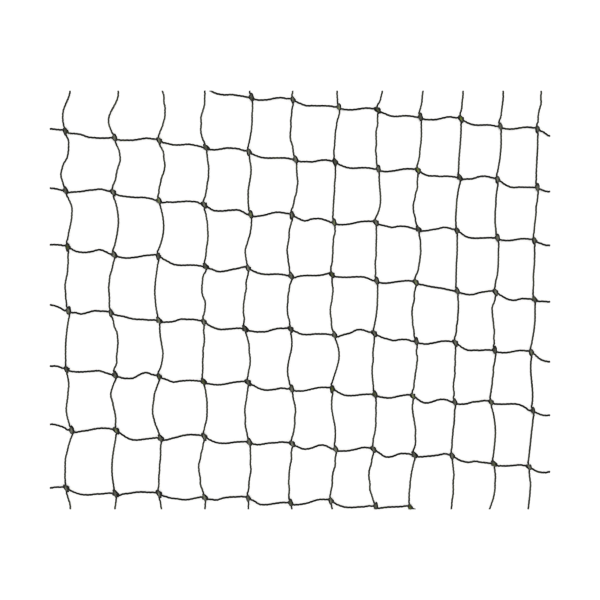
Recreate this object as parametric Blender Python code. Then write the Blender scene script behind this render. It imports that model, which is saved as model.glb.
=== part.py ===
"""A rectangular cut of knotted cat protection netting, lying flat on a surface.

Each twine runs through the netting like a staircase, one mesh across and one mesh down,
and is knotted to the next twine at every corner. Lengths are in metres.
+X runs across the panel, +Y up its height and +Z away from the surface that it lies on.
"""

import math
from typing import NamedTuple

import bmesh
import bpy
from mathutils import Vector

# The cut panel, centred on the origin
PANEL_WIDTH = 0.2970
PANEL_HEIGHT = 0.2484

# The knots stand in columns and rows, counted from the upper left corner of the panel
COLUMNS = 12
ROWS = 8
MIDDLE_COLUMN = 5.5
MIDDLE_ROW = 3.5
MIDDLE_PLACE = (0.0076, -0.0019)
MESH_WIDTH = 0.0251  # in the middle of the panel
MESH_NARROWING = 0.0005  # each column of meshes is this much narrower than the last
MESH_HEIGHT = 0.0340
ROW_FALL = 0.0024  # each knot of the middle row lies this much lower than the last
ROW_FALL_EASING = 0.00021  # and this much less with every row further down
COLUMN_LEAN = 0.00037  # each knot of the middle column lies this far left of the last
COLUMN_LEAN_GROWTH = 0.0001  # and this much more with every column further right
RIPPLE = 0.0008  # the rows wave up and down by this much
RIPPLE_PER_COLUMN = 0.7  # radians
RIPPLE_PER_ROW = 0.4
RIPPLE_START = -0.4
# The two twines of a knot pull it over: one kind of knot right and down, its neighbours back
KNOT_STAGGER = (0.0005, -0.0009)

# The twine, whose underside is flat where it lies
TWINE_WIDTH = 0.0010
TWINE_HEIGHT = 0.0010
TOP_SHARE = 0.6  # the top of its section is this share of its width

# A knot is two plain lumps side by side, one on each twine, and slants down to the right
LUMP_WIDTH = 0.00115
LUMP_HEIGHT = 0.0022
LUMP_GAP = 0.0003
KNOT_SLANT = math.radians(50)
KNOT_REACH = 0.0019  # from its centre to where the bars begin, along X or Y
MOUTH_HEIGHT = 0.0013  # of the twine there
ARRIVES_ABOVE = {"hook": 0.0002, "bight": 0.0007}  # a bar from the left, over the centre
LEAVES_BELOW = 0.0007  # a bar to the right, under the centre
ARRIVES_LEFT = {"hook": 0.0005, "bight": 0.0003}  # a bar from above, left of the centre
LEAVES_RIGHT = {"hook": 0.0005, "bight": 0.0003}  # a bar downwards, right of the centre

# A bar bends into an S by its sway, towards the right of its way at first
SWAY_ACROSS = {"hook": 0.0005, "bight": 0.0007}
SWAY_DOWN = {"hook": 0.0, "bight": -0.0002}
STEPS_ACROSS = (0.2, 0.5, 0.8)  # where a bar's sections are, as shares of its length
STEPS_DOWN = (0.16, 0.38, 0.62, 0.84)

# What the netting keeps from its folds in the pack, charted in millimetres by column and row
MILLIMETRE = 0.001
KNOTS_PULLED = {  # to the right and up
    (4, 0): (0.5, -0.5),
    (6, 0): (1.0, 0.5),
    (9, 0): (1.0, 0.0),
    (0, 1): (-0.5, -0.5),
    (3, 1): (0.0, 1.0),
    (5, 1): (1.0, 0.5),
    (0, 2): (-1.5, 1.0),
    (1, 2): (0.0, 1.0),
    (2, 2): (-1.0, 1.0),
    (4, 2): (0.5, -1.0),
    (6, 2): (-1.0, -0.5),
    (0, 3): (0.5, 1.0),
    (1, 3): (-0.5, 1.0),
    (2, 3): (-0.5, 1.5),
    (5, 3): (-1.0, -0.5),
    (6, 3): (-1.0, 0.5),
    (7, 3): (0.0, 0.5),
    (9, 3): (0.0, -1.0),
    (10, 3): (0.5, -0.5),
    (1, 4): (-1.5, 0.0),
    (2, 4): (-1.0, 0.0),
    (4, 4): (-2.5, 0.0),
    (7, 4): (0.0, 1.0),
    (9, 4): (0.5, 0.0),
    (0, 5): (-0.5, -1.0),
    (3, 5): (-1.0, 1.0),
    (4, 5): (0.5, 0.5),
    (8, 5): (-0.5, -0.5),
    (10, 5): (-0.5, 1.0),
    (11, 5): (1.0, 0.0),
    (0, 6): (1.5, 0.0),
    (1, 6): (1.5, 0.5),
    (3, 6): (0.5, 1.0),
    (4, 6): (0.5, 1.0),
    (5, 6): (1.5, -0.5),
    (6, 6): (1.5, -0.5),
    (7, 6): (0.5, -0.5),
    (10, 6): (1.0, -0.5),
    (11, 6): (0.5, -2.0),
    (0, 7): (-1.0, -0.5),
    (3, 7): (0.0, 1.0),
    (4, 7): (1.0, 0.0),
    (6, 7): (0.0, 1.0),
    (7, 7): (1.5, 1.0),
    (8, 7): (-1.0, 1.0),
}
MARKED_SWAYS_ACROSS = {  # instead of the usual ones
    (0, 1): -0.4,
    (3, 2): 1.5,
    (5, 2): 1.3,
    (0, 3): 1.5,
    (5, 3): -0.5,
    (8, 3): 0.1,
    (1, 4): 0.0,
    (1, 5): 1.4,
    (8, 5): 1.7,
    (5, 6): 1.6,
    (7, 6): 1.4,
    (1, 7): -0.1,
    (2, 7): 0.0,
    (7, 7): -0.2,
}
MARKED_SWAYS_DOWN = {
    (0, 0): -1.7,
    (1, 0): -3.0,
    (3, 0): -1.0,
    (0, 1): -2.2,
    (1, 1): -0.8,
    (2, 1): -1.0,
    (4, 1): -1.0,
    (7, 1): 0.6,
    (8, 1): -0.9,
    (0, 2): -0.8,
    (4, 2): -1.0,
    (0, 3): -0.8,
    (3, 3): 1.4,
    (6, 3): -0.8,
    (10, 3): 0.8,
    (2, 4): 0.8,
    (5, 4): -1.2,
    (6, 4): -0.6,
    (11, 4): 0.5,
    (0, 5): -1.2,
    (1, 5): 1.2,
    (6, 5): 0.8,
    (8, 5): 0.8,
}
# A bar also bellies out as a bow: one across downwards and one down to the left, or the other
# way if below zero


class RowOfBars(NamedTuple):
    across: tuple  # from the one that the panel's left edge cuts to the one at its right edge
    down: tuple  # those that hang from the row's knots


BARS_ABOVE_FIRST_ROW = RowOfBars((), (0, 0, 0, 0, 0, 0, 0, -3, -2, -1, -2, -1))
ROWS_OF_BARS = (
    RowOfBars((0, 0, 0, 0, 1, 0, 1, 0, 1, 0, 1, 0, 1), (0, 0, -3, 2, -1, 2, 1, 1, -1, 0, -1, 0)),
    RowOfBars((0, 1, 0, 0, -1, 1, 0, 1, 0, 1, -1, 2, 1), (0, -3, -3, -2, 0, -2, 0, -2, 2, 1, 1, 0)),
    RowOfBars((0, -1, 0, -1, 0, -1, 0, 0, 0, -1, 2, 0, 0), (-3, -3, -3, -2, 1, 2, 0, 0, -2, 0, -1, 0)),
    RowOfBars((-1, 0, 1, 2, 2, 1, 0, -1, 0, 0, 1, 2, 0), (1, 2, 2, 1, 1, 2, 1, -1, 2, -1, 1, -1)),
    RowOfBars((-2, 0, 1, -1, 2, 1, 1, -2, 1, 0, 2, 0, 3), (1, -3, -2, 0, -2, 1, -3, 1, -1, 0, 0, 0)),
    RowOfBars((-1, -1, 0, 1, 1, 2, 0, 2, 1, 1, 0, -2, 2), (1, 2, 4, -2, 2, -2, 0, -1, -1, 0, -2, 0)),
    RowOfBars((-2, -1, 3, -1, 2, 0, 0, 0, 2, 0, 1, 0, 2), (2, 2, 0, 3, -1, 1, 0, 3, 1, -1, -2, -1)),
    RowOfBars((1, 2, -1, 2, 0, 2, 0, 2, 0, 0, 0, 0, 0), (-2, 0, -2, 0, 0, -2, -2, 0, 0, 0, 0, 0)),
)

TWINE_OLIVE = (0.030, 0.031, 0.022, 1.0)
TWINE_ROUGHNESS = 0.55


class Section(NamedTuple):
    """One section of a twine: the middle of its underside, its width and its height."""

    place: Vector
    width: float
    height: float


def kind_of_knot(column, row):
    """Knots take turns along rows and columns: which of the two twines makes the hook."""
    return "hook" if (column + row) % 2 == 0 else "bight"


def knot_place(column, row):
    right = column - MIDDLE_COLUMN
    down = row - MIDDLE_ROW
    side = 1 if kind_of_knot(column, row) == "hook" else -1
    ripple = RIPPLE * math.sin(RIPPLE_PER_COLUMN * right + RIPPLE_PER_ROW * down + RIPPLE_START)
    x = MESH_WIDTH * right - MESH_NARROWING / 2 * right**2
    x -= (COLUMN_LEAN + COLUMN_LEAN_GROWTH * right) * down
    y = ripple - MESH_HEIGHT * down - (ROW_FALL - ROW_FALL_EASING * down) * right
    pulled = MILLIMETRE * Vector(KNOTS_PULLED.get((column, row), (0, 0)))
    return Vector(MIDDLE_PLACE) + Vector((x, y)) + side * Vector(KNOT_STAGGER) + pulled


def through_knot(column, row, from_left):
    """The twine's three sections in a knot: it comes from the left and goes down, or comes
    from above and goes to the right."""
    centre, kind = knot_place(column, row), kind_of_knot(column, row)
    if from_left:
        arrives = Vector((-KNOT_REACH, ARRIVES_ABOVE[kind]))
        leaves = Vector((LEAVES_RIGHT[kind], -KNOT_REACH))
    else:
        arrives = Vector((-ARRIVES_LEFT[kind], KNOT_REACH))
        leaves = Vector((KNOT_REACH, -LEAVES_BELOW))
    side = -1 if from_left else 1
    apart = (LUMP_WIDTH + LUMP_GAP) / 2
    lump = side * apart * Vector((math.sin(KNOT_SLANT), math.cos(KNOT_SLANT)))
    return [
        Section(centre + arrives, TWINE_WIDTH, MOUTH_HEIGHT),
        Section(centre + lump, LUMP_WIDTH, LUMP_HEIGHT),
        Section(centre + leaves, TWINE_WIDTH, MOUTH_HEIGHT),
    ]


def belly_of_bar(column, row, across):
    """How far the bar that leaves this knot bows out, to the right of its way."""
    chart = ROWS_OF_BARS[row] if 0 <= row < ROWS else BARS_ABOVE_FIRST_ROW
    bars = chart.across if across else chart.down
    place = column + 1 if across else column
    return MILLIMETRE * bars[place] if 0 <= place < len(bars) else 0.0


def sway_of_bar(column, row, across):
    """How far its S goes out, to the right of its way in its first half."""
    marked = MARKED_SWAYS_ACROSS if across else MARKED_SWAYS_DOWN
    if (column, row) in marked:
        return MILLIMETRE * marked[column, row]
    return (SWAY_ACROSS if across else SWAY_DOWN)[kind_of_knot(column, row)]


def bar(start, end, column, row, across):
    """The sections of a bar from one knot to the next, without its ends."""
    along = end - start
    right = Vector((along.y, -along.x)).normalized()
    belly = belly_of_bar(column, row, across)
    sway = sway_of_bar(column, row, across)
    sections = []
    for share in STEPS_ACROSS if across else STEPS_DOWN:
        out = belly * math.sin(math.pi * share) + sway * math.sin(2 * math.pi * share)
        sections.append(Section(start + along * share + right * out, TWINE_WIDTH, TWINE_HEIGHT))
    return sections


def whole_twine(stair):
    """Every section of a twine, from a mesh beyond the panel to a mesh beyond it. In knots
    whose column is the row plus stair it comes from the left, and in the others from above."""
    sections = []
    for column in range(-1, COLUMNS + 1):
        row = column - stair
        if not -1 <= row <= ROWS:
            continue
        corner = through_knot(column, row, from_left=True)
        if sections:
            sections += bar(sections[-1].place, corner[0].place, column - 1, row, across=True)
        below = through_knot(column, row + 1, from_left=False)
        sections += corner
        sections += bar(corner[-1].place, below[0].place, column, row, across=False)
        sections += below
    return sections


def inside(place):
    return abs(place.x) < PANEL_WIDTH / 2 and abs(place.y) < PANEL_HEIGHT / 2


def cut_between(within, beyond):
    """The section on the panel's edge, between one within the panel and one beyond it."""
    step = beyond.place - within.place
    shares = []
    for axis, limit in ((0, PANEL_WIDTH / 2), (1, PANEL_HEIGHT / 2)):
        if abs(beyond.place[axis]) > limit:
            edge = math.copysign(limit, beyond.place[axis])
            shares.append((edge - within.place[axis]) / step[axis])
    share = min(shares)
    return Section(
        within.place + step * share,
        within.width + (beyond.width - within.width) * share,
        within.height + (beyond.height - within.height) * share,
    )


def cut_to_panel(sections):
    """The run of sections within the panel, with one more on its edge at each end."""
    kept = [number for number, section in enumerate(sections) if inside(section.place)]
    first, last = kept[0], kept[-1]
    return [
        cut_between(sections[first], sections[first - 1]),
        *sections[first : last + 1],
        cut_between(sections[last], sections[last + 1]),
    ]


def edge_direction(place):
    """Along the panel's edge on which a cut end lies."""
    from_side = PANEL_WIDTH / 2 - abs(place.x)
    from_top = PANEL_HEIGHT / 2 - abs(place.y)
    return Vector((0, 1)) if from_side < from_top else Vector((1, 0))


def side_vector(sections, number):
    """Half a section's width, to the right of the twine's way: square to it, along the
    bisector at a bend, and along the panel's edge at a cut end."""
    before = sections[max(number - 1, 0)].place
    here = sections[number].place
    after = sections[min(number + 1, len(sections) - 1)].place
    ways = [(b - a).normalized() for a, b in ((before, here), (here, after)) if b != a]
    right = [Vector((way.y, -way.x)) for way in ways]
    if len(ways) == 1:
        side = edge_direction(here)
        side = side if side.dot(right[0]) > 0 else -side
    else:
        side = (right[0] + right[1]).normalized()
    return side * (sections[number].width / 2 / side.dot(right[0]))


def twine_mesh(name, sections):
    """A closed tube with a flat underside and a narrower top, through all the sections."""
    shape = bmesh.new()
    rings = []
    for number, section in enumerate(sections):
        side = side_vector(sections, number)
        corners = ((1, 0), (TOP_SHARE, section.height), (-TOP_SHARE, section.height), (-1, 0))
        places = [(section.place + side * out).to_3d() + Vector((0, 0, z)) for out, z in corners]
        rings.append([shape.verts.new(place) for place in places])
    for ring, following in zip(rings, rings[1:]):
        for corner in range(len(ring)):
            beside = (corner + 1) % len(ring)
            shape.faces.new((ring[corner], following[corner], following[beside], ring[beside]))
    shape.faces.new(rings[0])
    shape.faces.new(reversed(rings[-1]))
    bmesh.ops.recalc_face_normals(shape, faces=shape.faces)
    mesh = bpy.data.meshes.new(name)
    shape.to_mesh(mesh)
    shape.free()
    return mesh


def twine_material():
    material = bpy.data.materials.new("twisted polyethylene twine")
    material.use_nodes = True
    surface = material.node_tree.nodes["Principled BSDF"]
    surface.inputs["Base Color"].default_value = TWINE_OLIVE
    surface.inputs["Roughness"].default_value = TWINE_ROUGHNESS
    surface.inputs["Metallic"].default_value = 0.0
    return material


def build():
    for thing in list(bpy.data.objects):
        bpy.data.objects.remove(thing)
    material = twine_material()
    stairs = range(1 - ROWS, COLUMNS + 1)
    for number, stair in enumerate(stairs, start=1):
        name = f"twine_{number:02d}"
        mesh = twine_mesh(name, cut_to_panel(whole_twine(stair)))
        mesh.materials.append(material)
        bpy.context.collection.objects.link(bpy.data.objects.new(name, mesh))


build()
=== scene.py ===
"""The looks of a cut of cat protection netting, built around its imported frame, in metres."""

import math
from typing import NamedTuple

import bpy
import numpy as np
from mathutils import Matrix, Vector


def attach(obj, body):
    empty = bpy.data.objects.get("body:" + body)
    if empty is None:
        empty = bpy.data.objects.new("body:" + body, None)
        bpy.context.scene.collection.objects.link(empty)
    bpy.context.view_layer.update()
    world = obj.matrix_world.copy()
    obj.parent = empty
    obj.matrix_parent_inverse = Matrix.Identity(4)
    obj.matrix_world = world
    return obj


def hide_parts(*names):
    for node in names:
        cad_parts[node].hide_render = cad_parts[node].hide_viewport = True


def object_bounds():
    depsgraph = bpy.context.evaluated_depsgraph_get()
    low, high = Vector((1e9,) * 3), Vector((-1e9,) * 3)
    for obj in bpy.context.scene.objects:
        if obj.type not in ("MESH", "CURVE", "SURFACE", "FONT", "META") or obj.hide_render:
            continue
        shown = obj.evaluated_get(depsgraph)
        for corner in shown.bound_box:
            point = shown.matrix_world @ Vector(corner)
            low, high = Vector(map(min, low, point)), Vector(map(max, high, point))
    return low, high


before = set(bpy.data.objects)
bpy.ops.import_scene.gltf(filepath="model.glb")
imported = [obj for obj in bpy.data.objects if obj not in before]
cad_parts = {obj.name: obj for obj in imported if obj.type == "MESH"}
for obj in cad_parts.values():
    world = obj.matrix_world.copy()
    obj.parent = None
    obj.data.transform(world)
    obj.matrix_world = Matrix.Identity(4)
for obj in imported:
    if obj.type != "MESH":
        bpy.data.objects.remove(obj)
cad_low, cad_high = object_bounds()


# The panel: one cut of knotted netting, laid flat. Every twine runs through it like a
# staircase, one mesh across and one mesh down. The knots stand in 12 slanting columns and
# 8 slanting rows, and the bars between them keep some of the bends of the folded net.

PANEL_WIDTH = cad_high.x - cad_low.x
PANEL_HEIGHT = cad_high.y - cad_low.y
COLUMNS = 12
ROWS = 8
MIDDLE_COLUMN = (COLUMNS - 1) / 2
MIDDLE_ROW = (ROWS - 1) / 2
MIDDLE_PLACE = (0.0076, -0.0019)  # where the middle column and row would cross
MESH_WIDTH = 0.0251  # in the middle of the panel
MESH_NARROWING = 0.0005  # each column of meshes is this much narrower than the last
MESH_HEIGHT = 0.0340
ROW_FALL = 0.0024  # each knot of the middle row lies this much lower than the last
ROW_FALL_EASING = 0.00021  # and this much less with every row further down
COLUMN_LEAN = 0.00037  # each knot of the middle column lies this far left of the last
COLUMN_LEAN_GROWTH = 0.0001  # and this much more with every column further right
RIPPLE = 0.0008  # the rows wave up and down by this much
RIPPLE_PER_COLUMN = 0.7  # radians
RIPPLE_PER_ROW = 0.4
RIPPLE_START = -0.4
KNOT_STAGGER = (0.0005, -0.0009)  # hook knots are pulled right and down, bight knots back

MILLIMETRE = 0.001
KNOTS_PULLED = {  # millimetres to the right and up, by column and row
    (4, 0): (0.5, -0.5),
    (6, 0): (1.0, 0.5),
    (9, 0): (1.0, 0.0),
    (0, 1): (-0.5, -0.5),
    (3, 1): (0.0, 1.0),
    (5, 1): (1.0, 0.5),
    (0, 2): (-1.5, 1.0),
    (1, 2): (0.0, 1.0),
    (2, 2): (-1.0, 1.0),
    (4, 2): (0.5, -1.0),
    (6, 2): (-1.0, -0.5),
    (0, 3): (0.5, 1.0),
    (1, 3): (-0.5, 1.0),
    (2, 3): (-0.5, 1.5),
    (5, 3): (-1.0, -0.5),
    (6, 3): (-1.0, 0.5),
    (7, 3): (0.0, 0.5),
    (9, 3): (0.0, -1.0),
    (10, 3): (0.5, -0.5),
    (1, 4): (-1.5, 0.0),
    (2, 4): (-1.0, 0.0),
    (4, 4): (-2.5, 0.0),
    (7, 4): (0.0, 1.0),
    (9, 4): (0.5, 0.0),
    (0, 5): (-0.5, -1.0),
    (3, 5): (-1.0, 1.0),
    (4, 5): (0.5, 0.5),
    (8, 5): (-0.5, -0.5),
    (10, 5): (-0.5, 1.0),
    (11, 5): (1.0, 0.0),
    (0, 6): (1.5, 0.0),
    (1, 6): (1.5, 0.5),
    (3, 6): (0.5, 1.0),
    (4, 6): (0.5, 1.0),
    (5, 6): (1.5, -0.5),
    (6, 6): (1.5, -0.5),
    (7, 6): (0.5, -0.5),
    (10, 6): (1.0, -0.5),
    (11, 6): (0.5, -2.0),
    (0, 7): (-1.0, -0.5),
    (3, 7): (0.0, 1.0),
    (4, 7): (1.0, 0.0),
    (6, 7): (0.0, 1.0),
    (7, 7): (1.5, 1.0),
    (8, 7): (-1.0, 1.0),
}


def kind_of_knot(column, row):
    """Knots take turns: in a hook knot the twine from the left makes the hook."""
    return "hook" if (column + row) % 2 == 0 else "bight"


def knot_place(column, row):
    right = column - MIDDLE_COLUMN
    down = row - MIDDLE_ROW
    side = 1 if kind_of_knot(column, row) == "hook" else -1
    ripple = RIPPLE * math.sin(RIPPLE_PER_COLUMN * right + RIPPLE_PER_ROW * down + RIPPLE_START)
    x = MESH_WIDTH * right - MESH_NARROWING / 2 * right**2
    x -= (COLUMN_LEAN + COLUMN_LEAN_GROWTH * right) * down
    y = ripple - MESH_HEIGHT * down - (ROW_FALL - ROW_FALL_EASING * down) * right
    pulled = MILLIMETRE * np.array(KNOTS_PULLED.get((column, row), (0.0, 0.0)))
    return np.array(MIDDLE_PLACE) + (x, y) + side * np.array(KNOT_STAGGER) + pulled


# The knots: sheet bends of two twines, pulled tight by the netting machine. One twine is
# folded to a bight, and the other comes up through it, goes round behind both its legs and
# is caught under itself. Each is laid out loose here and then pulled tight.

TWINE = 0.0010  # its width
KNOT_SLANT = math.radians(70)
KNOT_REACH = 0.0019  # from its centre to where the bars begin, along X or Y


class Bend(NamedTuple):
    """A point of a loose knot in twine widths: across runs down to the right, along the
    knot's long way, and along runs up to the right."""

    across: float
    along: float
    up: float


LOOSE_BIGHT = (
    Bend(-2.2, 0.6, 1.1),  # its left leg
    Bend(-2.2, -0.2, 1.1),
    Bend(-2.0, -1.2, 1.1),
    Bend(-1.2, -2.0, 1.1),
    Bend(0.0, -2.3, 1.1),  # its fold
    Bend(1.2, -2.0, 1.1),
    Bend(2.0, -1.2, 1.1),
    Bend(2.2, -0.2, 1.1),
    Bend(2.2, 0.6, 1.1),  # its right leg
)
LOOSE_HOOK = (
    Bend(-1.6, -3.0, 0.2),
    Bend(-0.5, -2.3, -0.4),  # under the bight's fold
    Bend(0.0, -1.5, 0.2),
    Bend(0.3, -0.9, 1.8),  # up through the bight
    Bend(0.9, -0.4, 2.6),
    Bend(2.1, 0.0, 2.6),  # over the right leg
    Bend(3.0, 0.3, 1.8),
    Bend(3.0, 0.7, 0.6),
    Bend(2.2, 1.1, -0.4),  # behind the right leg
    Bend(0.0, 1.3, -0.4),
    Bend(-2.2, 1.1, -0.4),  # behind the left leg
    Bend(-3.0, 0.7, 0.6),
    Bend(-3.0, 0.3, 1.8),
    Bend(-2.1, 0.2, 2.6),  # over the left leg
    Bend(-1.2, 0.3, 2.0),
    Bend(-0.2, 0.4, 1.1),
    Bend(0.6, 0.1, 0.9),  # under itself
    Bend(1.2, -0.6, 1.4),
    Bend(1.7, -1.6, 2.4),  # over the bight's right side
    Bend(2.4, -2.0, 1.8),
)
# Where the four legs are held while they are pulled, and how, again in twine widths
LEFT_END = Bend(-3.2, -3.2, 0.6)
LOWER_END = Bend(3.7, -2.6, 0.6)
UPPER_END = Bend(-3.7, 2.6, 0.6)
RIGHT_END = Bend(3.4, 3.0, 0.6)
POINTS_OF_BIGHT = 40
POINTS_OF_HOOK = 68
TIGHTENING_STEPS = 700
SLACK_TAKEN_UP = 2.5  # all slack is gone after one part in this many of the steps
LOOSE_PULL = 0.3  # how far a step draws a point to between its neighbours, with slack left
TIGHT_PULL = 0.125  # and with none left
PRESSED_WIDTH = 0.76  # twines press into each other to this share of their width
PUSH = 0.3  # the share of what they overlap by that one push puts right
PUSHES_IN_STEP = 2
OWN_REACH = 1.5  # points of one twine closer than this along it don't push each other
KNOT_FLOOR = 0.43  # the middle of a twine stays between these heights
KNOT_CEILING = 1.75
LOOSE_BELOW = 1.2  # and with all its slack may pass them by this much
LOOSE_ABOVE = 1.4


def smooth_line(points, lengths):
    """Points at these lengths along a smooth line through the given ones."""
    chord = np.concatenate(((0.0,), np.cumsum(np.linalg.norm(np.diff(points, axis=0), axis=1))))
    slope = np.gradient(points, chord, axis=0)
    first = np.clip(np.searchsorted(chord, lengths, side="right") - 1, 0, len(points) - 2)
    span = (chord[first + 1] - chord[first])[:, None]
    share = (np.asarray(lengths) - chord[first])[:, None] / span
    rise = share**2 * (3 - 2 * share)
    line = points[first] * (1 - rise) + points[first + 1] * rise
    line += slope[first] * span * share * (1 - share) ** 2
    return line - slope[first + 1] * span * share**2 * (1 - share)


def chord_length(points):
    return np.linalg.norm(np.diff(points, axis=0), axis=1).sum()


def loose_line(start, bends, end, count):
    points = np.array((start, *bends, end))
    return smooth_line(points, np.linspace(0, chord_length(points), count))


def pulled_tight(bight, hook):
    """Both twines of a loose knot, pulled until they press on each other."""
    line = np.concatenate((bight, hook))
    parts = (line[: len(bight)], line[len(bight) :])
    number = np.arange(len(line))
    on_hook = number >= len(bight)
    held = [0, len(bight) - 1, len(bight), len(line) - 1]
    for step in range(TIGHTENING_STEPS):
        slack = max(0.0, 1 - SLACK_TAKEN_UP * step / TIGHTENING_STEPS)
        for part in parts:  # a point drawn between its neighbours shortens the line
            pull = LOOSE_PULL if slack else TIGHT_PULL
            part[1:-1] += pull * ((part[:-2] + part[2:]) / 2 - part[1:-1])
        spacing = [chord_length(part) / (len(part) - 1) for part in parts]
        passed = np.abs(number[:, None] - number) * np.where(on_hook, spacing[1], spacing[0])
        beside = (passed < OWN_REACH) & (on_hook[:, None] == on_hook)
        for _ in range(PUSHES_IN_STEP):
            between = line[:, None] - line
            apart = np.linalg.norm(between, axis=2)
            pushing = (apart < PRESSED_WIDTH) & ~beside
            push = np.where(pushing, (PRESSED_WIDTH - apart) / np.maximum(apart, 1e-6), 0)
            move = (between * push[..., None]).sum(axis=1)
            move *= PUSH / np.sqrt(np.maximum(pushing.sum(axis=1), 1))[:, None]
            move[held] = 0
            line += move
        lowest = KNOT_FLOOR - LOOSE_BELOW * slack
        highest = KNOT_CEILING + LOOSE_ABOVE * slack
        line[:, 2] = np.clip(line[:, 2], lowest, highest)
    return parts


def within_reach(line):
    """A twine's part in the knot, from mouth to mouth, in metres and turned to the knot's
    slant."""
    near = np.flatnonzero(np.hypot(line[:, 0], line[:, 1]) < KNOT_REACH / TWINE)
    across, along, up = line[near[0] : near[-1] + 1].T * TWINE
    x = across * math.cos(KNOT_SLANT) + along * math.sin(KNOT_SLANT)
    y = along * math.cos(KNOT_SLANT) - across * math.sin(KNOT_SLANT)
    return np.stack((x, y, up), axis=1)


tight_bight, tight_hook = pulled_tight(
    loose_line(UPPER_END, LOOSE_BIGHT, RIGHT_END, POINTS_OF_BIGHT),
    loose_line(LEFT_END, LOOSE_HOOK, LOWER_END, POINTS_OF_HOOK),
)
bight_line = within_reach(tight_bight)
hook_line = within_reach(tight_hook)

ARRIVES_ABOVE = {"hook": 0.0002, "bight": 0.0007}  # a bar from the left, over the centre
LEAVES_BELOW = 0.0010  # a bar to the right, under the centre
ARRIVES_LEFT = {"hook": 0.0005, "bight": 0.0003}  # a bar from above, left of the centre
LEAVES_RIGHT = {"hook": 0.0005, "bight": 0.0003}  # a bar downwards, right of the centre
LEG_LENGTH = 0.0020  # how much of each leg gives way to reach its mouth
SETTLED = {"hook": (0.0004, 0.0003), "bight": (-0.0001, -0.0002)}  # the knot, off its centre
KNOT_STRETCH = 0.15  # a knot is drawn out along its long way by this share
KNOT_SHRINKING = 0.011  # each column's knots are pulled this much tighter than the last's
KNOT_SEED = 11
KNOT_TURNS = math.radians(28)  # each knot differs at random by up to this turn,
KNOT_SPREADS = 0.05  # this share of its size
KNOT_STRETCHES = 0.16  # and this share of its length


def lengths_along(line):
    return np.concatenate(((0.0,), np.cumsum(np.linalg.norm(np.diff(line, axis=0), axis=1))))


def mouths(kind, from_left):
    """Where a twine comes into a knot and where it leaves, beside the knot's centre."""
    if from_left:
        return (-KNOT_REACH, ARRIVES_ABOVE[kind]), (LEAVES_RIGHT[kind], -KNOT_REACH)
    return (-ARRIVES_LEFT[kind], KNOT_REACH), (KNOT_REACH, -LEAVES_BELOW)


def through_knot(column, row, from_left):
    """The twine in a knot: it comes from the left and goes down, or comes from above and
    goes to the right. A bight knot is a hook knot turned round, its twines changed over."""
    kind = kind_of_knot(column, row)
    line = (hook_line if (kind == "hook") == from_left else bight_line).copy()
    if kind == "bight":
        line = line[::-1] * (-1, -1, 1)
    chance = np.random.default_rng((KNOT_SEED, column + 1, row + 1))
    most = (KNOT_TURNS, KNOT_SPREADS, KNOT_STRETCHES)
    turn, spread, stretch = chance.uniform(-1, 1, 3) * most
    spread -= KNOT_SHRINKING * (column - MIDDLE_COLUMN)
    long_way = np.array((math.cos(KNOT_SLANT), -math.sin(KNOT_SLANT)))
    line[:, :2] += (KNOT_STRETCH + stretch) * np.outer(line[:, :2] @ long_way, long_way)
    turned = np.array(((math.cos(turn), math.sin(turn)), (-math.sin(turn), math.cos(turn))))
    line[:, :2] = (1 + spread) * line[:, :2] @ turned + SETTLED[kind]
    passed = lengths_along(line)
    arrives, leaves = mouths(kind, from_left)
    shifts = (arrives - line[0, :2], leaves - line[-1, :2])
    for shift, distance in zip(shifts, (passed, passed[-1] - passed)):
        give = np.clip(1 - distance / LEG_LENGTH, 0, 1)[:, None]
        line[:, :2] += shift * give * give
    line[:, :2] += knot_place(column, row)
    return line


# The bars: twine between two knots. It leaves every knot in the knot's own direction, so
# that it bends to an S, and it keeps a bow where the net lay folded in its pack. Some bars
# have a marked S of their own, by the column and row of the knot that they leave.

SWAY_ACROSS = {"hook": 0.0005, "bight": 0.0007}  # to the right of the bar's way, then left
SWAY_DOWN = {"hook": 0.0, "bight": -0.0002}
BAR_SHARES = np.linspace(0.1, 0.9, 9)
ARCHES = 0.0004  # how far a bar may lift off the surface in its middle
MARKED_SWAYS_ACROSS = {  # millimetres
    (0, 1): -0.4,
    (3, 2): 1.5,
    (5, 2): 1.3,
    (0, 3): 1.5,
    (5, 3): -0.5,
    (8, 3): 0.1,
    (1, 4): 0.0,
    (1, 5): 1.4,
    (8, 5): 1.7,
    (5, 6): 1.6,
    (7, 6): 1.4,
    (1, 7): -0.1,
    (2, 7): 0.0,
    (7, 7): -0.2,
}
MARKED_SWAYS_DOWN = {
    (0, 0): -1.7,
    (1, 0): -3.0,
    (3, 0): -1.0,
    (0, 1): -2.2,
    (1, 1): -0.8,
    (2, 1): -1.0,
    (4, 1): -1.0,
    (7, 1): 0.6,
    (8, 1): -0.9,
    (0, 2): -0.8,
    (4, 2): -1.0,
    (0, 3): -0.8,
    (3, 3): 1.4,
    (6, 3): -0.8,
    (10, 3): 0.8,
    (2, 4): 0.8,
    (5, 4): -1.2,
    (6, 4): -0.6,
    (11, 4): 0.5,
    (0, 5): -1.2,
    (1, 5): 1.2,
    (6, 5): 0.8,
    (8, 5): 0.8,
}


class RowOfBars(NamedTuple):
    """Bows in millimetres to the right of a bar's way: downwards across, to the left down."""

    across: tuple  # from the bar that the panel's left edge cuts to the one at its right edge
    down: tuple  # those that hang from the row's knots


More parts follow.
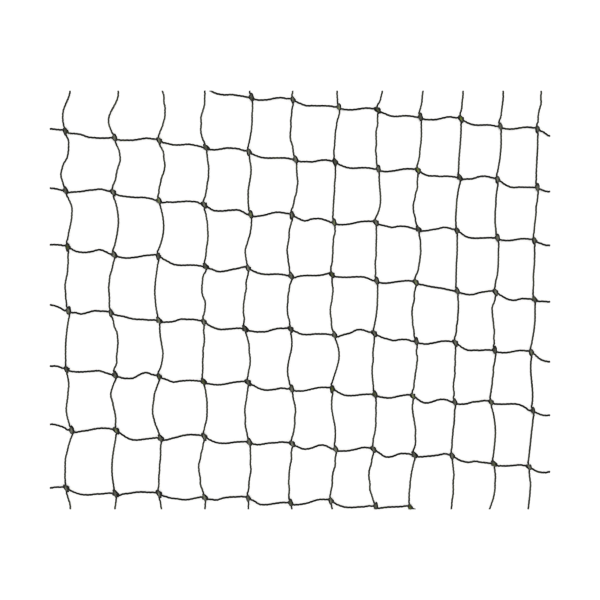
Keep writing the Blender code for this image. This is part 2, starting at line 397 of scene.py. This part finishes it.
BARS_ABOVE_FIRST_ROW = RowOfBars((), (0, 0, 0, 0, 0, 0, 0, -3, -2, -1, -2, -1))
ROWS_OF_BARS = (
    RowOfBars(
        (0, 0, 0, 0, 1, 0, 1, 0, 1, 0, 1, 0, 1),
        (0, 0, -3, 2, -1, 2, 1, 1, -1, 0, -1, 0),
    ),
    RowOfBars(
        (0, 1, 0, 0, -1, 1, 0, 1, 0, 1, -1, 2, 1),
        (0, -3, -3, -2, 0, -2, 0, -2, 2, 1, 1, 0),
    ),
    RowOfBars(
        (0, -1, 0, -1, 0, -1, 0, 0, 0, -1, 2, 0, 0),
        (-3, -3, -3, -2, 1, 2, 0, 0, -2, 0, -1, 0),
    ),
    RowOfBars(
        (-1, 0, 1, 2, 2, 1, 0, -1, 0, 0, 1, 2, 0),
        (1, 2, 2, 1, 1, 2, 1, -1, 2, -1, 1, -1),
    ),
    RowOfBars(
        (-2, 0, 1, -1, 2, 1, 1, -2, 1, 0, 2, 0, 3),
        (1, -3, -2, 0, -2, 1, -3, 1, -1, 0, 0, 0),
    ),
    RowOfBars(
        (-1, -1, 0, 1, 1, 2, 0, 2, 1, 1, 0, -2, 2),
        (1, 2, 4, -2, 2, -2, 0, -1, -1, 0, -2, 0),
    ),
    RowOfBars(
        (-2, -1, 3, -1, 2, 0, 0, 0, 2, 0, 1, 0, 2),
        (2, 2, 0, 3, -1, 1, 0, 3, 1, -1, -2, -1),
    ),
    RowOfBars(
        (1, 2, -1, 2, 0, 2, 0, 2, 0, 0, 0, 0, 0),
        (-2, 0, -2, 0, 0, -2, -2, 0, 0, 0, 0, 0),
    ),
)


def bow_of_bar(column, row, across):
    chart = ROWS_OF_BARS[row] if 0 <= row < ROWS else BARS_ABOVE_FIRST_ROW
    bars = chart.across if across else chart.down
    place = column + 1 if across else column
    return MILLIMETRE * bars[place] if 0 <= place < len(bars) else 0.0


def sway_of_bar(column, row, across):
    marked = MARKED_SWAYS_ACROSS if across else MARKED_SWAYS_DOWN
    if (column, row) in marked:
        return MILLIMETRE * marked[column, row]
    return (SWAY_ACROSS if across else SWAY_DOWN)[kind_of_knot(column, row)]


def bar(start, end, column, row, across):
    """Points of a bar from one mouth to the next, without its ends."""
    along = end[:2] - start[:2]
    right = np.array((along[1], -along[0])) / np.linalg.norm(along)
    out = bow_of_bar(column, row, across) * np.sin(math.pi * BAR_SHARES)
    out += sway_of_bar(column, row, across) * np.sin(2 * math.pi * BAR_SHARES)
    chance = np.random.default_rng((KNOT_SEED, column + 1, row + 1, int(across)))
    height = TWINE / 2 + chance.uniform(0, ARCHES) * np.sin(math.pi * BAR_SHARES) ** 2
    line = start[:2] + BAR_SHARES[:, None] * along + out[:, None] * right
    return np.column_stack((line, height))


def whole_twine(stair):
    """The line of a twine, from a mesh beyond the panel to a mesh beyond it, and for each of
    its points whether it is in a knot (0 or 1) and in a bar across (0 to 1, a knot being
    half way). In knots whose column is the row plus stair the twine comes from the left, and
    in the others from above."""
    runs = []
    for column in range(-1, COLUMNS + 1):
        row = column - stair
        if not -1 <= row <= ROWS:
            continue
        corner = through_knot(column, row, from_left=True)
        below = through_knot(column, row + 1, from_left=False)
        if runs:
            runs.append(bar(runs[-1][-1], corner[0], column - 1, row, across=True))
        runs += [corner, bar(corner[-1], below[0], column, row, across=False), below]
    # a knot, a bar down, a knot and a bar across take turns
    knotted = [np.full(len(run), 1.0 - number % 2) for number, run in enumerate(runs)]
    across = [np.full(len(run), (0.5, 0, 0.5, 1)[number % 4]) for number, run in enumerate(runs)]
    return np.concatenate(runs), np.concatenate(knotted), np.concatenate(across)


# The twine itself: three strands of fine polyethylene filaments, laid round each other. In
# the knots it is squeezed, and its strands are paler on top, partly worn and partly a painted
# highlight. Its cut ends are bare and square with the panel's edge.

STRANDS = 3
STRAND_SIDES = 5
STRAND_RADIUS = 0.000307
STRAND_ORBIT = 0.000317  # from the twine's middle to a strand's middle
LAY = 0.0065  # the twine's length for one turn of a strand
LAY_DRIFTS = 0.5  # radians, over
LAY_DRIFT_LENGTH = 0.037
STRAND_SWELLS = 0.05  # its radius varies by this share
STRAND_SHIFT = 0.31  # moves each strand's own pattern along, so that no two are alike
SQUEEZE = 0.09  # the twine is this much slimmer in a knot
FULLER_ACROSS = 0.04  # and this much thicker in the bars across
CUT_EDGE_ANGLE = math.radians(80)  # edges of the cut ends are sharper than this
HALF_PANEL = np.array((PANEL_WIDTH, PANEL_HEIGHT)) / 2
EDGE_SLACK = 0.0009  # a twine that passes the edge by less than this isn't cut there
FINE_STEP = 0.0001  # between the points that a twine's line is worked out at
BAR_STEP = 0.00132  # between the sections of a strand in a bar
KNOT_STEP = 0.00066  # and in a knot
WAVES = (0.0061, 0.0093, 0.0143)  # the lengths of a twine's own small bends
WAVE_STEEPNESS = 0.019  # their greatest height for each unit of their length
LEAST_WAVE = 0.4  # the share of it that a bend has at least
TWINE_SEED = 5

PAINTED_SHEEN_DOWN = 0.21  # a painted sheen pales the bars down evenly by this share
WORN_AND_LIT_LENGTH = 1.9  # the pale top of a knot, worn and with a painted highlight, is this many times as long as wide
WORN_AND_LIT_RADII = (0.0004, 0.0011)  # across: palest within the first, not pale beyond the second
WORN_AND_LIT_HEIGHTS = (0.0010, 0.0017)  # the painted highlight on a knot's top: none below the first, fullest above the second
WORN_AND_LIT_WAYS = np.array(  # turns a place in a knot to its long way, shrunk to fit, and across
    (
        (math.cos(KNOT_SLANT) / WORN_AND_LIT_LENGTH, math.sin(KNOT_SLANT)),
        (-math.sin(KNOT_SLANT) / WORN_AND_LIT_LENGTH, math.cos(KNOT_SLANT)),
    )
)
KNOT_CENTRES = np.array(
    [knot_place(column, row) for column in range(-1, COLUMNS + 1) for row in range(-1, ROWS + 1)]
)


def run_in_panel(line):
    """The first and the last point of the longest run within the panel. The run may pass
    the edge a little on its way."""
    beyond = (np.abs(line[:, :2]) - HALF_PANEL).max(axis=1)
    far = np.concatenate(((-1,), np.flatnonzero(beyond > EDGE_SLACK), (len(line),)))
    longest = int(np.argmax(np.diff(far)))
    within = np.flatnonzero(beyond[far[longest] + 1 : far[longest + 1]] < 0) + far[longest] + 1
    return within[0], within[-1]


def frames_along(line):
    """The way of a line and two directions square to it, without any twist of their own."""
    ways = np.gradient(line, axis=0)
    ways /= np.linalg.norm(ways, axis=1)[:, None]
    side = np.cross(ways[0], (0, 0, 1))
    sides = []
    for way in ways:
        side = side - side.dot(way) * way
        side /= np.linalg.norm(side)
        sides.append(side)
    return ways, np.array(sides), np.cross(ways, sides)


def cut_square(ring, way):
    """Slides the points of an end ring along the twine to the panel's edge."""
    middle = ring.mean(axis=0)
    axis = int(np.argmin(HALF_PANEL - np.abs(middle[:2])))
    edge = math.copysign(HALF_PANEL[axis], middle[axis])
    slide = (edge - ring[:, axis]) / way[axis]
    return ring + np.outer(np.clip(slide, -TWINE, TWINE), way)


def twine_sections(stair, chance):
    """The middle line of a twine within the panel at uneven steps, its lengths there, and
    how far each section is in a knot and in a bar across."""
    points, knotted, across = whole_twine(stair)
    passed = lengths_along(points)
    fine = np.arange(0, passed[-1], FINE_STEP)
    line = smooth_line(points, fine)
    ways, sides, _ = frames_along(line)
    in_knot = np.interp(fine, passed, knotted)
    for wave in WAVES:
        start = chance.uniform(0, 2 * math.pi)
        height = chance.uniform(LEAST_WAVE, 1) * WAVE_STEEPNESS * wave
        bend = (1 - in_knot) * height * np.sin(2 * math.pi * fine / wave + start)
        line += sides * bend[:, None] * (1, 1, 0)
    first, last = run_in_panel(line)
    steps = FINE_STEP / (BAR_STEP + (KNOT_STEP - BAR_STEP) * in_knot)
    counted = np.cumsum(steps)
    counted -= counted[first]
    wanted = np.linspace(0, counted[last], round(counted[last]) + 1)
    lengths = np.interp(wanted, counted[first : last + 1], fine[first : last + 1])
    middle = np.stack([np.interp(lengths, fine, line[:, axis]) for axis in range(3)], axis=1)
    return middle, lengths, np.interp(lengths, fine, in_knot), np.interp(lengths, passed, across)


def knot_wear_and_highlight(points):
    """How pale the twine's surface is at these points by its knots, from wear and a painted
    highlight: most on a knot's top, near its middle."""
    apart = np.linalg.norm((points[:, None, :2] - KNOT_CENTRES) @ WORN_AND_LIT_WAYS, axis=2)
    near = np.interp(apart.min(axis=1), WORN_AND_LIT_RADII, (1, 0))
    return near * np.interp(points[:, 2], WORN_AND_LIT_HEIGHTS, (0, 1))


class MeshParts:
    """The points, faces and surface values of a mesh while it grows."""

    def __init__(self):
        self.points, self.faces, self.unrolled, self.wear_and_painted_light = [], [], [], []
        self.count = 0

    def add_tube(self, rings, lengths, wear_and_painted_light):
        """A closed tube through rings of points, unrolled by its length and once round.
        Its last argument says how pale each ring is from painted sheen, apart from the wear and
        painted highlight that its knots add."""
        sections, sides = rings.shape[:2]
        number = self.count + np.arange(sections * sides).reshape(sections, sides)
        beside = np.roll(number, -1, axis=1)
        quads = np.stack((number[:-1], number[1:], beside[1:], beside[:-1]), axis=-1)
        self.faces += quads.reshape(-1, 4).tolist()
        round_it = np.arange(sides) / sides
        for here, following in zip(lengths[:-1], lengths[1:]):
            for share in round_it:
                far = share + 1 / sides
                self.unrolled += ((here, share), (following, share), (following, far), (here, far))
        self.faces += (number[0].tolist(), number[-1][::-1].tolist())
        for length in (lengths[0], lengths[-1]):
            self.unrolled += [(length, share) for share in round_it]
        self.points.append(rings.reshape(-1, 3))
        self.wear_and_painted_light.append(np.repeat(wear_and_painted_light, sides))
        self.count += sections * sides

    def made(self, name):
        mesh = bpy.data.meshes.new(name)
        points = np.concatenate(self.points)
        mesh.from_pydata(points.tolist(), [], self.faces)
        unrolled = mesh.uv_layers.new(name="UVMap")
        unrolled.uv.foreach_set("vector", np.array(self.unrolled, np.float32).ravel())
        # paleness from wear, from a painted highlight on the knots' tops and from a painted sheen
        # on the bars down
        wear_and_painted_light = mesh.attributes.new("wear_and_painted_light", "FLOAT", "POINT")
        wear_and_painted_light_values = np.maximum(knot_wear_and_highlight(points), np.concatenate(self.wear_and_painted_light))
        wear_and_painted_light.data.foreach_set("value", wear_and_painted_light_values.astype(np.float32))
        mesh.shade_smooth()
        mesh.set_sharp_from_angle(angle=CUT_EDGE_ANGLE)
        piece = bpy.data.objects.new(name, mesh)
        bpy.context.scene.collection.objects.link(piece)
        return piece


def add_twine(parts, stair):
    """The strands of one twine, each a tube."""
    chance = np.random.default_rng((TWINE_SEED, stair + ROWS))
    middle, lengths, in_knot, across = twine_sections(stair, chance)
    ways, sides, ups = frames_along(middle)
    drift = LAY_DRIFTS * np.sin(2 * math.pi * lengths / LAY_DRIFT_LENGTH)
    laid = chance.uniform(0, 2 * math.pi) + 2 * math.pi * lengths / LAY + drift
    slim = 1 - SQUEEZE * in_knot + FULLER_ACROSS * across
    # painted sheen: the bars down are paler, the bars across not
    wear_and_painted_light = PAINTED_SHEEN_DOWN * np.clip(1 - 2 * across, 0, 1)
    round_strand = 2 * math.pi * np.arange(STRAND_SIDES) / STRAND_SIDES
    for strand in range(STRANDS):
        turn = laid + 2 * math.pi * strand / STRANDS
        swell = slim * chance.uniform(1 - STRAND_SWELLS, 1 + STRAND_SWELLS, len(slim))
        out = (STRAND_ORBIT * slim * np.cos(turn))[:, None] + np.outer(
            STRAND_RADIUS * swell, np.cos(round_strand)
        )
        up = (STRAND_ORBIT * slim * np.sin(turn))[:, None] + np.outer(
            STRAND_RADIUS * swell, np.sin(round_strand)
        )
        rings = middle[:, None] + out[..., None] * sides[:, None] + up[..., None] * ups[:, None]
        rings[0] = cut_square(rings[0], ways[0])
        rings[-1] = cut_square(rings[-1], ways[-1])
        rings[..., :2] = np.clip(rings[..., :2], -HALF_PANEL, HALF_PANEL)
        rings[..., 2] = np.maximum(rings[..., 2], 0)
        parts.add_tube(rings, lengths + strand * STRAND_SHIFT, wear_and_painted_light)


netting_parts = MeshParts()
for stair in range(1 - ROWS, COLUMNS + 1):
    add_twine(netting_parts, stair)
netting = netting_parts.made("netting")


# Polyethylene monofilament, dyed dark olive, drawn and twisted: near black and a little
# waxy, with fine lines along the strands where filament lies beside filament, painted as
# shade between the filaments and light on their ridges. Where it is worn, above all on top
# of the knots, it is paler and in places greener; on the knots' tops that paleness is partly
# a painted highlight, and on the bars down it is a painted sheen.

DYE_IN_PAINTED_SHADE = "#0e0e0c"  # painted shade: the dye's colour between the filaments
DYE_IN_PAINTED_LIGHT = "#2a2a25"  # painted highlight: the dye's colour on their ridges
OLIVE_FLECK = "#3c4026"
# the pale colours shown by wear, by the painted highlight on the knots' tops and by the painted
# sheen on the bars down
WORN_AND_LIT_GREY = "#76786b"
WORN_AND_LIT_GREEN = "#74861f"
FILAMENTS_ROUND_STRAND = 7  # a real strand has more and finer ones, too fine to show
FILAMENT_TWIST_LENGTH = 0.011  # for one turn of the filaments in their strand
RIDGE_HEIGHT = 0.00004
RIDGE_BUMP = 0.6
RIDGE_SHADE = 0.8  # how far a ridge's top goes from the deep colour to the lit one
BLOTCH_SIZE = 0.0025  # of olive flecks, and of waxy and dull spots
FLECKED = (0.58, 0.72)  # noise values, from no fleck to a full one
WAXINESS = (0.3, 0.7)  # from waxy to dull
ROUGHNESS = (0.42, 0.6)  # of waxy and of dull filament
PATCH_SIZE = 0.02  # of greener wear, so that it changes from knot to knot
GREENED = (0.56, 0.66)  # from grey to green
WEAR_AND_LIGHT_SIZE = 0.013  # of how pale the wear and painted light are, so that it changes within a mesh
RUBBED_AND_LIT = (0.38, 0.58)  # from least to full wear and painted light
LEAST_RUBBED_AND_LIT = 0.42  # how much of its wear and painted light the least pale twine shows


def linear(colour):
    """The linear value of an sRGB hex colour."""
    shares = [int(colour[place : place + 2], 16) / 255 for place in (1, 3, 5)]
    return (*(s / 12.92 if s <= 0.04045 else ((s + 0.055) / 1.055) ** 2.4 for s in shares), 1.0)


def add_node(tree, kind, inputs, **properties):
    """Adds a node with its properties, and sets or links each of its inputs."""
    node = tree.nodes.new("ShaderNode" + kind)
    for name, value in properties.items():
        setattr(node, name, value)
    for name, value in inputs.items():
        if isinstance(value, bpy.types.NodeSocket):
            tree.links.new(value, node.inputs[name])
        else:
            node.inputs[name].default_value = value
    return node


def twine_material():
    material = bpy.data.materials.new("drawn_polyethylene_filament")
    material.use_nodes = True
    tree = material.node_tree
    unrolled = add_node(tree, "UVMap", {}, uv_map="UVMap").outputs["UV"]
    unrolled = add_node(tree, "SeparateXYZ", {"Vector": unrolled}).outputs
    place = add_node(tree, "TexCoord", {}).outputs["Object"]
    # how pale the surface is from wear and from painted highlight and sheen
    wear_and_painted_light = add_node(tree, "Attribute", {}, attribute_name="wear_and_painted_light").outputs["Fac"]

    # one ridge for each filament: a sine round the strand, so that it meets itself
    turn = 2 * math.pi * FILAMENTS_ROUND_STRAND
    across = add_node(tree, "Math", {0: unrolled["Y"], 1: turn}, operation="MULTIPLY")
    along = {0: unrolled["X"], 1: turn / FILAMENT_TWIST_LENGTH, 2: across.outputs[0]}
    slanted = add_node(tree, "Math", along, operation="MULTIPLY_ADD")
    ridge = add_node(tree, "Math", {0: slanted.outputs[0]}, operation="SINE").outputs[0]

    noise = {"Vector": place, "Scale": 1 / BLOTCH_SIZE, "Detail": 3.0, "Roughness": 0.6}
    blotch = add_node(tree, "TexNoise", noise).outputs["Fac"]
    noise = {"Vector": place, "Scale": 1 / PATCH_SIZE, "Detail": 1.0}
    patch = add_node(tree, "TexNoise", noise).outputs["Fac"]

    # painted shade between the filaments and painted light on their ridges, in the colour
    lit = {"Value": ridge, "From Min": -1.0, "From Max": 1.0, "To Max": RIDGE_SHADE}
    lit = add_node(tree, "MapRange", lit).outputs["Result"]
    lit = add_node(tree, "Math", {0: lit, 1: blotch}, operation="MULTIPLY").outputs[0]
    # sockets 6 and 7 of a Mix node are its two colours, and output 2 is the mixed one
    colours = {"Factor": lit, 6: linear(DYE_IN_PAINTED_SHADE), 7: linear(DYE_IN_PAINTED_LIGHT)}
    dye_with_painted_ridges = add_node(tree, "Mix", colours, data_type="RGBA").outputs[2]
    olive = {"Value": blotch, "From Min": FLECKED[0], "From Max": FLECKED[1]}
    olive = add_node(tree, "MapRange", olive).outputs["Result"]
    colours = {"Factor": olive, 6: dye_with_painted_ridges, 7: linear(OLIVE_FLECK)}
    flecked = add_node(tree, "Mix", colours, data_type="RGBA").outputs[2]

    # the pale colour of wear with painted highlight and sheen, greener in patches
    green = {"Value": patch, "From Min": GREENED[0], "From Max": GREENED[1]}
    green = add_node(tree, "MapRange", green).outputs["Result"]
    green = add_node(tree, "Math", {0: green, 1: wear_and_painted_light}, operation="MULTIPLY").outputs[0]
    colours = {"Factor": green, 6: linear(WORN_AND_LIT_GREY), 7: linear(WORN_AND_LIT_GREEN)}
    worn_and_lit = add_node(tree, "Mix", colours, data_type="RGBA").outputs[2]
    noise = {"Vector": place, "Scale": 1 / WEAR_AND_LIGHT_SIZE, "Detail": 1.0}
    rubbed_and_lit = add_node(tree, "TexNoise", noise).outputs["Fac"]
    rubbed_and_lit = {"Value": rubbed_and_lit, "From Min": RUBBED_AND_LIT[0], "From Max": RUBBED_AND_LIT[1]}
    rubbed_and_lit = add_node(tree, "MapRange", {**rubbed_and_lit, "To Min": LEAST_RUBBED_AND_LIT}).outputs["Result"]
    rubbed_and_lit = add_node(tree, "Math", {0: wear_and_painted_light, 1: rubbed_and_lit}, operation="MULTIPLY").outputs[0]
    colours = {"Factor": rubbed_and_lit, 6: flecked, 7: worn_and_lit}
    coloured = add_node(tree, "Mix", colours, data_type="RGBA").outputs[2]

    surface = tree.nodes["Principled BSDF"]
    tree.links.new(coloured, surface.inputs["Base Color"])
    rough = {"Value": blotch, "From Min": WAXINESS[0], "From Max": WAXINESS[1]}
    rough |= {"To Min": ROUGHNESS[0], "To Max": ROUGHNESS[1]}
    rough = add_node(tree, "MapRange", rough).outputs["Result"]
    tree.links.new(rough, surface.inputs["Roughness"])
    surface.inputs["IOR"].default_value = 1.5
    surface.inputs["Specular IOR Level"].default_value = 0.15
    bump = {"Height": ridge, "Distance": RIDGE_HEIGHT, "Strength": RIDGE_BUMP}
    bump = add_node(tree, "Bump", bump).outputs["Normal"]
    tree.links.new(bump, surface.inputs["Normal"])
    return material


netting.data.materials.append(twine_material())
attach(netting, "root")
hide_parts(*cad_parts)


# The room: a white matt board, a white surrounding light that is dimmer overhead, and two
# broad lamps steeply above the panel, one beyond its top edge and one beyond its bottom
# edge. The camera stands above the middle of the panel and looks straight down.

FLOOR_SIZE = 12.0
FLOOR_COLOUR = "#e7e7e6"
SKY_RISE = (0.2, 0.5)  # how steeply a ray rises where the light starts and ends to dim
SKY_STRENGTH = (1.0, 0.4)  # before and after that
LAMP_SPREAD = math.radians(20)
LAMPS = {"upper lamp": ((0.08, 0.36, 1.35), 1.62), "lower lamp": ((-0.07, -0.33, 1.4), 1.2)}
VIEW_WIDTH = 0.3564  # what the camera sees of the floor
LENS = 100.0
SENSOR = 36.0
FILTER_WIDTH = 1.2  # narrower than usual, so that fine twine stays sharp

bpy.ops.mesh.primitive_plane_add(size=FLOOR_SIZE, location=(0, 0, 0))
floor = bpy.context.object
floor.name = "floor"
floor_paint = bpy.data.materials.new("white_matt_board")
floor_paint.use_nodes = True
floor_surface = floor_paint.node_tree.nodes["Principled BSDF"]
floor_surface.inputs["Base Color"].default_value = linear(FLOOR_COLOUR)
floor_surface.inputs["Roughness"].default_value = 1.0
floor_surface.inputs["Specular IOR Level"].default_value = 0.0
floor.data.materials.append(floor_paint)

world = bpy.data.worlds.new("white room")
world.use_nodes = True
sky = world.node_tree
ray = add_node(sky, "TexCoord", {}).outputs["Generated"]
height = add_node(sky, "SeparateXYZ", {"Vector": ray}).outputs["Z"]
brightness = {"Value": height, "From Min": SKY_RISE[0], "From Max": SKY_RISE[1]}
brightness |= {"To Min": SKY_STRENGTH[0], "To Max": SKY_STRENGTH[1]}
brightness = add_node(sky, "MapRange", brightness).outputs["Result"]
sky.nodes["Background"].inputs["Color"].default_value = (1, 1, 1, 1)
sky.links.new(brightness, sky.nodes["Background"].inputs["Strength"])
bpy.context.scene.world = world

for name, (place, power) in LAMPS.items():
    lamp_data = bpy.data.lights.new(name, "SUN")
    lamp_data.angle = LAMP_SPREAD
    lamp_data.energy = power
    lamp = bpy.data.objects.new(name, lamp_data)
    lamp.location = place
    lamp.rotation_euler = (-lamp.location).to_track_quat("-Z", "Y").to_euler()
    bpy.context.scene.collection.objects.link(lamp)

camera_data = bpy.data.cameras.new("camera")
camera_data.lens = LENS
camera_data.sensor_width = SENSOR
camera = bpy.data.objects.new("camera", camera_data)
camera.location = (0, 0, VIEW_WIDTH * LENS / SENSOR)
bpy.context.scene.collection.objects.link(camera)
bpy.context.scene.camera = camera
bpy.context.scene.view_settings.view_transform = "Standard"
bpy.context.scene.cycles.filter_width = FILTER_WIDTH
